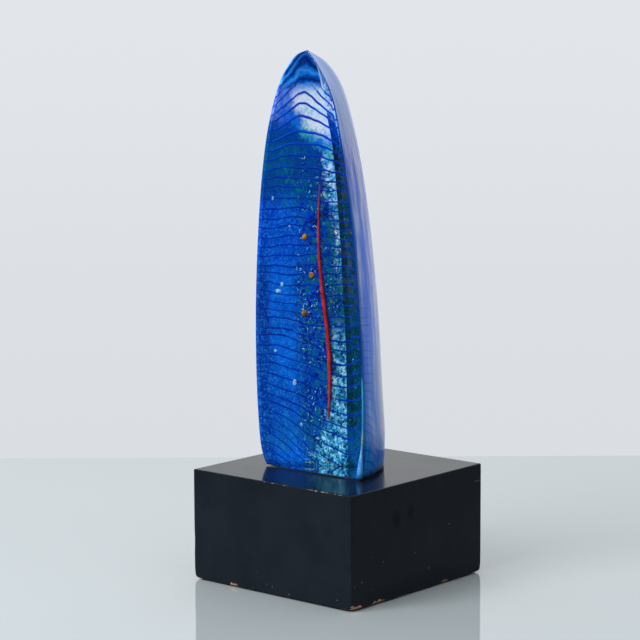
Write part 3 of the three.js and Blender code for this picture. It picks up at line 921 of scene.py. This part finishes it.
def top_board():
    """The lid: square rings from the mitred underside to the edge and in over the top."""
    steps = edge_steps()
    walk = [(x, -PLINTH_HALF) for x in steps[:-1]]
    walk += [(PLINTH_HALF, y) for y in steps[:-1]]
    walk += [(x, PLINTH_HALF) for x in reversed(steps[1:])]
    walk += [(-PLINTH_HALF, y) for y in reversed(steps[1:])]
    under = 1 - BOARD_THICKNESS / PLINTH_HALF
    rings = [[((x * under, y * under, PLINTH_TOP - BOARD_THICKNESS), 0.0) for x, y in walk]]
    for inset in (*CLOSE_ROWS, 9.0, 20.0):
        share = 1 - inset * MM / PLINTH_HALF
        rings.append([rounded((x * share, y * share, PLINTH_TOP)) for x, y in walk])
    add_board("lid_board", rings, lid_paint, "plinth_top_board")


side_paint = black_paint_material(
    "black_paint_side", 0.34, 0.09, (0.007, 0.0108, 0.0166), (0.0104, 0.015, 0.0222)
)
lid_paint = black_paint_material(
    "black_paint_lid", 0.1, 0.12, (0.0028, 0.005, 0.007), (0.005, 0.008, 0.0105)
)
top_board()
for quarter, side in enumerate(("front", "right", "back", "left")):
    side_board(f"{side}_board", quarter, f"plinth_{side}_board")


# Glass body and colour layers

def glass_levels(lowest, highest, count):
    """Heights from lowest to highest, closer together towards the tip."""
    heights = [GLASS_HEIGHT * sin(pi / 2 * i / count) for i in range(count + 1)]
    return [lowest, *[h for h in heights if lowest + 1 < h < highest - 0.05], highest]


def glass_ring(height, inset=0.0):
    """Outline of the glass with rounded edges, drawn in by an inset."""
    c = corners(height)
    width = norm(c.right - c.left)
    radius = min(EDGE_RADIUS, 0.12 * width, 0.12 * c.depth)
    start, end = radius / width, 1 - radius / width
    front = [bezier(c.front, start + (end - start) * t)[0] for t in eased(FRONT_STEPS)]
    side_speed = 3 * norm(c.side[1] - c.right)
    side = [side_point(c, 1 - radius / side_speed * (1 - t) - t)[0] for t in eased(SIDE_STEPS)]
    rear_end = radius / c.rear_length
    rear = [c.back + (c.left - c.back) * (1 - rear_end) * t for t in eased(REAR_STEPS)]
    ring = [*front, *bend(front[-1], c.right, side[0]), *side, *rear[1:]]
    ring += bend(rear[-1], c.left, front[0])
    ring = np.array(ring)
    if inset:
        ways = np.roll(ring, -1, axis=0) - np.roll(ring, 1, axis=0)
        ways /= norm(ways, axis=1)[:, None]
        ring = ring + np.stack([-ways[:, 1], ways[:, 0]], axis=1) * inset
    return [place(point, height) for point in ring]


def build_glass_body():
    rings = [glass_ring(LOWEST, FOOT_RADIUS + 0.8)]
    for i in range(5):
        angle = pi / 2 * i / 4
        height = LOWEST + FOOT_RADIUS * (1 - cos(angle))
        rings.append(glass_ring(height, FOOT_RADIUS * (1 - sin(angle))))
    for height in glass_levels(FOOT_RADIUS + 0.3, GLASS_HEIGHT - 0.25, BODY_LEVELS):
        rings.append(glass_ring(height))
    add_glass("glass_body", [loft(rings)], clear_glass_material(), ["clear_core"])


def arris_share(height):
    """Share of the full thickness that the side layer keeps at the arris, with a thick toe at the foot."""
    return ARRIS_THINNING + ARRIS_FOOT * hump(height, ARRIS_FOOT_HEIGHT)


def thinning(wrap, height, is_rear):
    """Share of the full thickness that a layer keeps."""
    if is_rear:
        return 1.0
    near = smooth((wrap - ARRIS_THIN_FROM) / (ARRIS_THIN_TO - ARRIS_THIN_FROM))
    return 1 - (1 - arris_share(height)) * near


def colour_layer(name, is_rear, columns, materials, replaced):
    """A closed layer under the skin. Its outer side has the first material, the rest the second."""
    rings, spots = [], []
    for height in glass_levels(0.12, GLASS_HEIGHT - 1.2, LAYER_LEVELS):
        c = corners(height)
        cover, deep = layer_depths(c, height)
        seam = seam_wrap(height)
        half_gap = SEAM_GAP / 2 / c.rear_length
        ring = []
        for depth in (-OUTER_LIFT, deep):
            low, high = wrap_limits(c, depth, cover)
            start, end = (low, seam - half_gap) if is_rear else (seam + half_gap, high)
            if not is_rear and depth > 0:
                end = wrap_limits(c, depth * arris_share(height), cover)[1]
            row = [start + (end - start) * t for t in eased(columns)]
            if depth < 0:
                row.reverse()
            for wrap in row:
                ring.append(place(wrap_point(c, wrap, depth * thinning(wrap, height, is_rear)), height))
                share = wrap / seam if is_rear else 1 + (wrap - seam) / (2 - seam)
                spots.append((share, thread_count(wrap, height)))
        rings.append(ring)
    vertices, faces = loft(rings)
    piece = add_piece(name, vertices, faces, "glass", materials, [replaced])
    mesh = piece.data
    pattern = mesh.uv_layers.new(name="pattern")
    count = len(rings[0])
    for polygon in mesh.polygons:
        on_outer = all(v % count <= columns for v in polygon.vertices)
        polygon.material_index = 0 if on_outer and len(polygon.vertices) == 4 else 1
        for loop in polygon.loop_indices:
            pattern.data[loop].uv = spots[mesh.loops[loop].vertex_index]


def inner_spot(wrap, height, extra=0.0):
    """A place on the inner side of the colour layer, moved further in by an extra depth."""
    c = corners(height)
    deep = layer_depths(c, height)[1] * thinning(wrap, height, wrap <= 1)
    return place(wrap_point(c, wrap, deep + extra), height)


# Threads, cane, drops and bubbles. Places are a wrap and a height, and sizes are in millimetres.

THREAD_RADIUS, THREAD_FLATNESS = 0.42, 0.55
THREAD_STEPS = 89
THREAD_WRAPS = (0.085, 1.915)
THREAD_LOWEST, THREAD_HIGHEST = 1.2, 274
CANE_LOW, CANE_HIGH, CANE_THICKEST = 34, 206, 92
CANE_DIAMETER, CANE_TIP_DIAMETER = 3.4, 0.7
CANE_WRAP, CANE_BOW = 0.75, 0.035
CANE_DEPTH = 0.2
DROP_DIAMETER, DROP_THICKNESS, DROP_DEPTH = 4.6, 3.0, 0.3
DROP_PLACES = ((0.56, 168), (0.63, 140), (0.54, 112))
BUBBLES_LOW, BUBBLES_HIGH, BUBBLE_WRAP = 16, 214, 0.865


def build_threads():
    parts = []
    first, last = THREAD_WRAPS
    for rest in THREAD_HEIGHTS:
        rest -= THREAD_STARTS_BELOW * THREAD_PITCH
        runs = [[]]
        for i in range(THREAD_STEPS + 1):
            wrap = first + (last - first) * i / THREAD_STEPS
            height = rest + thread_pull(wrap, rest)
            if not THREAD_LOWEST < height < THREAD_HIGHEST:
                runs.append([])
                continue
            low, high = wrap_limits(corners(height), SKIN + LAYER_THICKNESS, 1.2)
            if low < wrap < high - 0.03:
                swell = 0.2 * sin(9 * wrap + rest) + 0.16 * sin(23 * wrap + 1.7 * rest)
                swell += 0.7 * rising(height, 222, 12)
                runs[-1].append((inner_spot(wrap, height), THREAD_RADIUS * MM * (1 + swell)))
        parts += [tube(*zip(*run), 8, THREAD_FLATNESS) for run in runs if len(run) > 3]
    material = glassy_material(
        "thread_glass", (0.001, 0.024, 0.3), (0.002, 0.05, 0.5), 120, tip=(0.001, 0.07, 0.56)
    )
    add_glass("trailed_threads", parts, material)


def build_cane():
    path, radii = [], []
    steps = 110
    for i in range(steps + 1):
        along = i / steps
        height = CANE_LOW + (CANE_HIGH - CANE_LOW) * along
        wrap = CANE_WRAP + CANE_BOW * sin(2 * pi * along)
        reach = CANE_THICKEST - CANE_LOW if height < CANE_THICKEST else CANE_HIGH - CANE_THICKEST
        swell = cos(pi / 2 * abs(height - CANE_THICKEST) / reach)
        path.append(inner_spot(wrap, height, CANE_DEPTH))
        radii.append((CANE_TIP_DIAMETER + (CANE_DIAMETER - CANE_TIP_DIAMETER) * swell) / 2 * MM)
    material = glassy_material("red_glass", (0.28, 0.013, 0.017), (0.46, 0.03, 0.034), 140)
    add_glass("red_cane_smooth", [tube(path, radii, 20)], material, ["red_cane"])


def rear_turn():
    """Turn that lays a blob's x axis along the left-back face."""
    rear = corners(GLASS_HEIGHT / 2).rear
    return Matrix.Rotation(atan2(rear[1], rear[0]), 3, "Z")


def build_drops():
    material = glassy_material("amber_glass", (0.22, 0.085, 0.009), (0.46, 0.23, 0.03), 500, 0.1)
    size = [DROP_DIAMETER / 2 * MM, DROP_THICKNESS / 2 * MM, DROP_DIAMETER / 2 * MM]
    for i, (wrap, height) in enumerate(DROP_PLACES):
        drop = blob(inner_spot(wrap, height, DROP_DEPTH), size, rear_turn(), 0.06, i, 28, 18)
        add_glass(f"amber_drop_smooth_{i + 1}", [drop], material, [f"amber_drop_{i + 1}"])


def build_bubbles():
    source = random.Random(21)
    parts = []
    height = float(BUBBLES_LOW)
    while height < BUBBLES_HIGH:
        along = (height - BUBBLES_LOW) / (BUBBLES_HIGH - BUBBLES_LOW)
        size = source.uniform(0.2, 0.55) * (1.15 - 0.6 * along) * MM
        wrap = BUBBLE_WRAP + 0.022 * sin(height / 11) + source.uniform(-0.008, 0.008)
        spot = inner_spot(wrap, height, source.uniform(1.0, 2.4))
        parts.append(blob(spot, (size, size, size * source.uniform(1.0, 1.5)), Matrix.Identity(3)))
        height += source.uniform(2.4, 6.5)
    material = glassy_material("silvery_bubble", (0.3, 0.46, 0.62), (0.7, 0.8, 0.9), 900, 0.08, 0.6)
    add_glass("bubble_column", parts, material)


# Crumbs, curls and flakes

# Dark and light colour of each kind of crumb, and its share of them all
CRUMB_COLOURS = {
    "crumb_white": ((0.1, 0.6, 0.75), (0.45, 0.88, 0.88), 0.1),
    "crumb_yellow": ((0.34, 0.34, 0.04), (0.4, 0.52, 0.12), 0.07),
    "crumb_green": ((0.01, 0.26, 0.16), (0.03, 0.42, 0.42), 0.42),
    "crumb_red": ((0.2, 0.02, 0.006), (0.34, 0.06, 0.015), 0.03),
    "crumb_dark": ((0.002, 0.006, 0.02), (0.01, 0.02, 0.03), 0.39),
}
CRUMB_COUNT = 1200
CURL_COUNT, CURL_STEPS = 100, 9
LAST_SHARE = 0.985
# Wrap, height and half-width of each flake
FLAKES = (
    (0.16, 196, 1.3), (0.3, 133, 1.5), (0.26, 128, 2.1), (0.42, 61, 1.7),
    (0.22, 84, 1.0), (0.38, 176, 0.9), (0.47, 30, 1.2),
)
GOLDEN = 1.618
ICO_WAYS = [Vector(way).normalized() for way in (
    (0, 1, GOLDEN), (0, 1, -GOLDEN), (0, -1, GOLDEN), (0, -1, -GOLDEN),
    (1, GOLDEN, 0), (1, -GOLDEN, 0), (-1, GOLDEN, 0), (-1, -GOLDEN, 0),
    (GOLDEN, 0, 1), (GOLDEN, 0, -1), (-GOLDEN, 0, 1), (-GOLDEN, 0, -1),
)]
ICO_FACES = [
    (a, b, c)
    if (ICO_WAYS[b] - ICO_WAYS[a]).cross(ICO_WAYS[c] - ICO_WAYS[a]).dot(ICO_WAYS[a]) > 0
    else (a, c, b)
    for a in range(12) for b in range(a + 1, 12) for c in range(b + 1, 12)
    if all((ICO_WAYS[p] - ICO_WAYS[q]).length < 1.1 for p, q in ((a, b), (b, c), (a, c)))
]


def cluster_places(source):
    """Centres of the drifts of crumbs: share of the way to the seam, height, and how many crumbs."""
    while True:
        height = source.uniform(3, 226)
        share = source.gauss(0.7, 0.12) if height > 70 else source.gauss(0.74, 0.17)
        keep = 0.3 + 0.8 * exp(-height / 45)
        if 0.46 < share < LAST_SHARE and source.random() < keep * (1.0 if height < 160 else 0.6):
            yield share, height, source.randint(4, 16)


def build_crumbs():
    source = random.Random(5)
    materials = [
        glassy_material(name, dark, light, 1500, 0.25) for name, (dark, light, _) in CRUMB_COLOURS.items()
    ]
    shares = [share for _, _, share in CRUMB_COLOURS.values()]
    kinds = range(len(shares))
    vertices, faces, indices = [], [], []
    drifts = cluster_places(source)
    made = 0
    while made < CRUMB_COUNT:
        middle_share, middle_height, count = next(drifts)
        favourites = source.choices(kinds, shares, k=2)
        for _ in range(count):
            made += 1
            height = max(2.5, middle_height + source.gauss(0, 5.5))
            share = min(LAST_SHARE, middle_share + source.gauss(0, 0.022))
            turn = Matrix.Rotation(source.uniform(0, 6.28), 3, "Z")
            turn = turn @ Matrix.Rotation(source.uniform(0, 6.28), 3, "X")
            radius = MM * min(0.9, 0.12 + source.expovariate(6.0))
            stretch = (source.uniform(0.7, 1.9), source.uniform(0.5, 1.0), source.uniform(0.6, 1.2))
            depth = source.uniform(-0.1, 0.5)
            centre = Vector(inner_spot(share * seam_wrap(height), height, depth))
            start = len(vertices)
            for way in ICO_WAYS:
                spot = way * radius * source.uniform(0.7, 1.25)
                vertices.append(tuple(turn @ Vector([spot[k] * stretch[k] for k in range(3)]) + centre))
            faces += [tuple(start + v for v in face) for face in ICO_FACES]
            kind = source.choice(favourites) if source.random() < 0.7 else source.choices(kinds, shares)[0]
            indices += [kind] * len(ICO_FACES)
    piece = add_piece("frit_crumbs", vertices, faces, "glass", materials, soft=False)
    piece.data.polygons.foreach_set("material_index", indices)


def build_curls():
    """Short curled bits of fine thread among the crumbs."""
    source = random.Random(31)
    drifts = cluster_places(source)
    parts = []
    for _ in range(CURL_COUNT):
        share, height, _ = next(drifts)
        way, turning = source.uniform(0, 6.28), source.uniform(-0.55, 0.55)
        path, radii = [], []
        for step in range(CURL_STEPS):
            share += 0.004 * cos(way)
            height += 0.36 * sin(way)
            way += turning
            path.append(inner_spot(min(share, LAST_SHARE) * seam_wrap(height), max(2.0, height), 0.1))
            radii.append(MM * (0.1 + 0.17 * sin(pi * (step + 0.6) / 9.2)))
        parts.append(tube(path, radii, 6))
    material = glassy_material("curl_glass", (0.02, 0.38, 0.48), (0.34, 0.84, 0.66), 160)
    add_glass("thread_curls", parts, material)


def build_flakes():
    """Small pale flakes in the blue layer."""
    source = random.Random(12)
    parts = []
    for wrap, height, width in FLAKES:
        size = (width * MM, 0.3 * MM, width * source.uniform(0.7, 1.3) * MM)
        parts.append(blob(inner_spot(wrap, height), size, rear_turn(), 0.25, source.randrange(99)))
    material = glassy_material("pale_flake", (0.2, 0.5, 0.62), (0.42, 0.72, 0.78), 700, 0.3)
    add_glass("pale_flakes", parts, material)


build_glass_body()
blue_materials = [blue_outer_material(), blue_inner_material()]
side_materials = [side_outer_material(), side_inner_material()]
colour_layer("blue_colour_layer", True, 30, blue_materials, "left_back_colour_layer")
colour_layer("side_colour_layer", False, 44, side_materials, "right_side_colour_layer")
build_threads()
build_cane()
build_drops()
build_bubbles()
build_crumbs()
build_curls()
build_flakes()


# Hidden wood and screws keep their CAD shape, and the felt pads and bumpers are made anew

def disc(node, body, material, edge, uneven):
    """A round pad in place of a CAD disc, with a soft edge and a slightly uneven rim."""
    low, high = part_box(node)
    centre, radius = (low + high) / 2, (high.x - low.x) / 2
    source = random.Random(len(node))
    rim = [(1 - uneven * source.random(), angle) for angle in turns(72)]
    rings = []
    for step in range(9):
        lean = pi * (step / 8 - 0.5)
        z = low.z + edge * (1 + sin(lean)) if step < 5 else high.z - edge * (1 - sin(lean))
        reach = radius - edge * (1 - cos(lean))
        rings.append([
            (centre.x + reach * share * cos(angle), centre.y + reach * share * sin(angle), z)
            for share, angle in rim
        ])
    vertices, faces = loft(rings)
    add_piece(f"{node}_detailed", vertices, faces, body, [material], [node])


wood, steel, felt, bumper = raw_wood_material(), steel_material(), felt_material(), bumper_material()
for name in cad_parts:
    if name.startswith("felt_pad"):
        disc(name, "plinth", felt, 0.5 * MM, 0.03)
    elif name.startswith("bumper"):
        disc(name, "glass", bumper, 0.3 * MM, 0.0)
FINISHES = {"plinth_base_board": wood, "corner_block": wood, "base_screw": steel}
for name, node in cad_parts.items():
    for start, material in FINISHES.items():
        if name.startswith(start):
            node.data.materials.clear()
            node.data.materials.append(material)


# Table, light and camera

def table_material():
    n = Surface("pale_table")
    n.colour = n.mix(n.noise(3, 3, 0.5), (0.392, 0.438, 0.454), (0.422, 0.468, 0.484))
    return n.finish(0.04, Specular_IOR_Level=1.0)


TABLE_BACK, TABLE_FRONT, TABLE_HALF_WIDTH = 0.446, 0.6, 0.36
forward = Vector((-sin(CAMERA_AZIMUTH), cos(CAMERA_AZIMUTH), 0))
across = Vector((cos(CAMERA_AZIMUTH), sin(CAMERA_AZIMUTH), 0))
up = Vector((0, 0, 1))
mesh = bpy.data.meshes.new("table")
outline = [
    across * side * TABLE_HALF_WIDTH + forward * reach
    for side, reach in ((-1, -TABLE_FRONT), (1, -TABLE_FRONT), (1, TABLE_BACK), (-1, TABLE_BACK))
]
mesh.from_pydata([tuple(p) for p in outline], [], [(0, 1, 2, 3)])
mesh.materials.append(table_material())
table = bpy.data.objects.new("table", mesh)
scene.collection.objects.link(table)

world = bpy.data.worlds.new("studio")
world.use_nodes = True
sky = Nodes(world.node_tree)
direction = sky.add("TexCoord").outputs["Generated"]


def towards(way, low, high):
    """0 where the direction has less than low along a way, 1 where more than high."""
    dot = sky.add("VectorMath", (direction, way), operation="DOT_PRODUCT")
    return Value(sky, dot.outputs["Value"]).fade(low, high)


seen_colour = sky.mix(towards(up, -0.2, 0.02), (0.7, 0.73, 0.77), (0.76, 0.79, 0.83))
seen = sky.add("Background", [seen_colour])
amount = towards(forward, 0.2, 0.62).most(towards(up, 0.2, 0.75)) * 0.9 + 0.03
lighting = sky.add("Background", ((0.94, 0.97, 1.0), amount))
by_camera = sky.add("LightPath").outputs["Is Camera Ray"]
choice = sky.add("MixShader", (by_camera, lighting.outputs[0], seen.outputs[0]))
sky.add("OutputWorld", [choice.outputs[0]])
scene.world = world


# Name, place, aim, size, energy and spread of each light
LIGHTS = (
    ("key", (-0.4, -2.0, 1.8), (0, 0, 0.2), 1.6, 52, 180),
    ("crown", (-0.25, -0.75, 0.75), (0, -0.02, 0.37), 0.3, 2.1, 180),
    ("side", (0.75, 0.1, 0.55), (0.02, 0, 0.3), 0.3, 0.05, 50),
)
for name, spot, aim, size, energy, spread in LIGHTS:
    light = bpy.data.lights.new(name, "AREA")
    light.shape, light.size, light.energy, light.spread = "SQUARE", size, energy, radians(spread)
    lamp = bpy.data.objects.new(name, light)
    lamp.location = spot
    lamp.rotation_euler = (Vector(aim) - Vector(spot)).to_track_quat("-Z", "Y").to_euler()
    scene.collection.objects.link(lamp)

scene.view_settings.view_transform = "Standard"

back = up * sin(CAMERA_ELEVATION) - forward * cos(CAMERA_ELEVATION)
upward = back.cross(across)
right = across * cos(CAMERA_ROLL) + upward * sin(CAMERA_ROLL)
upward = upward * cos(CAMERA_ROLL) - across * sin(CAMERA_ROLL)
lens = bpy.data.cameras.new("camera")
lens.sensor_width = SENSOR_WIDTH
lens.lens = FOCAL_PIXELS / PICTURE_PIXELS * SENSOR_WIDTH
camera = bpy.data.objects.new("camera", lens)
camera.matrix_world = Matrix((right, upward, back)).transposed().to_4x4()
camera.location = CAMERA_PLACE
scene.collection.objects.link(camera)
scene.camera = camera
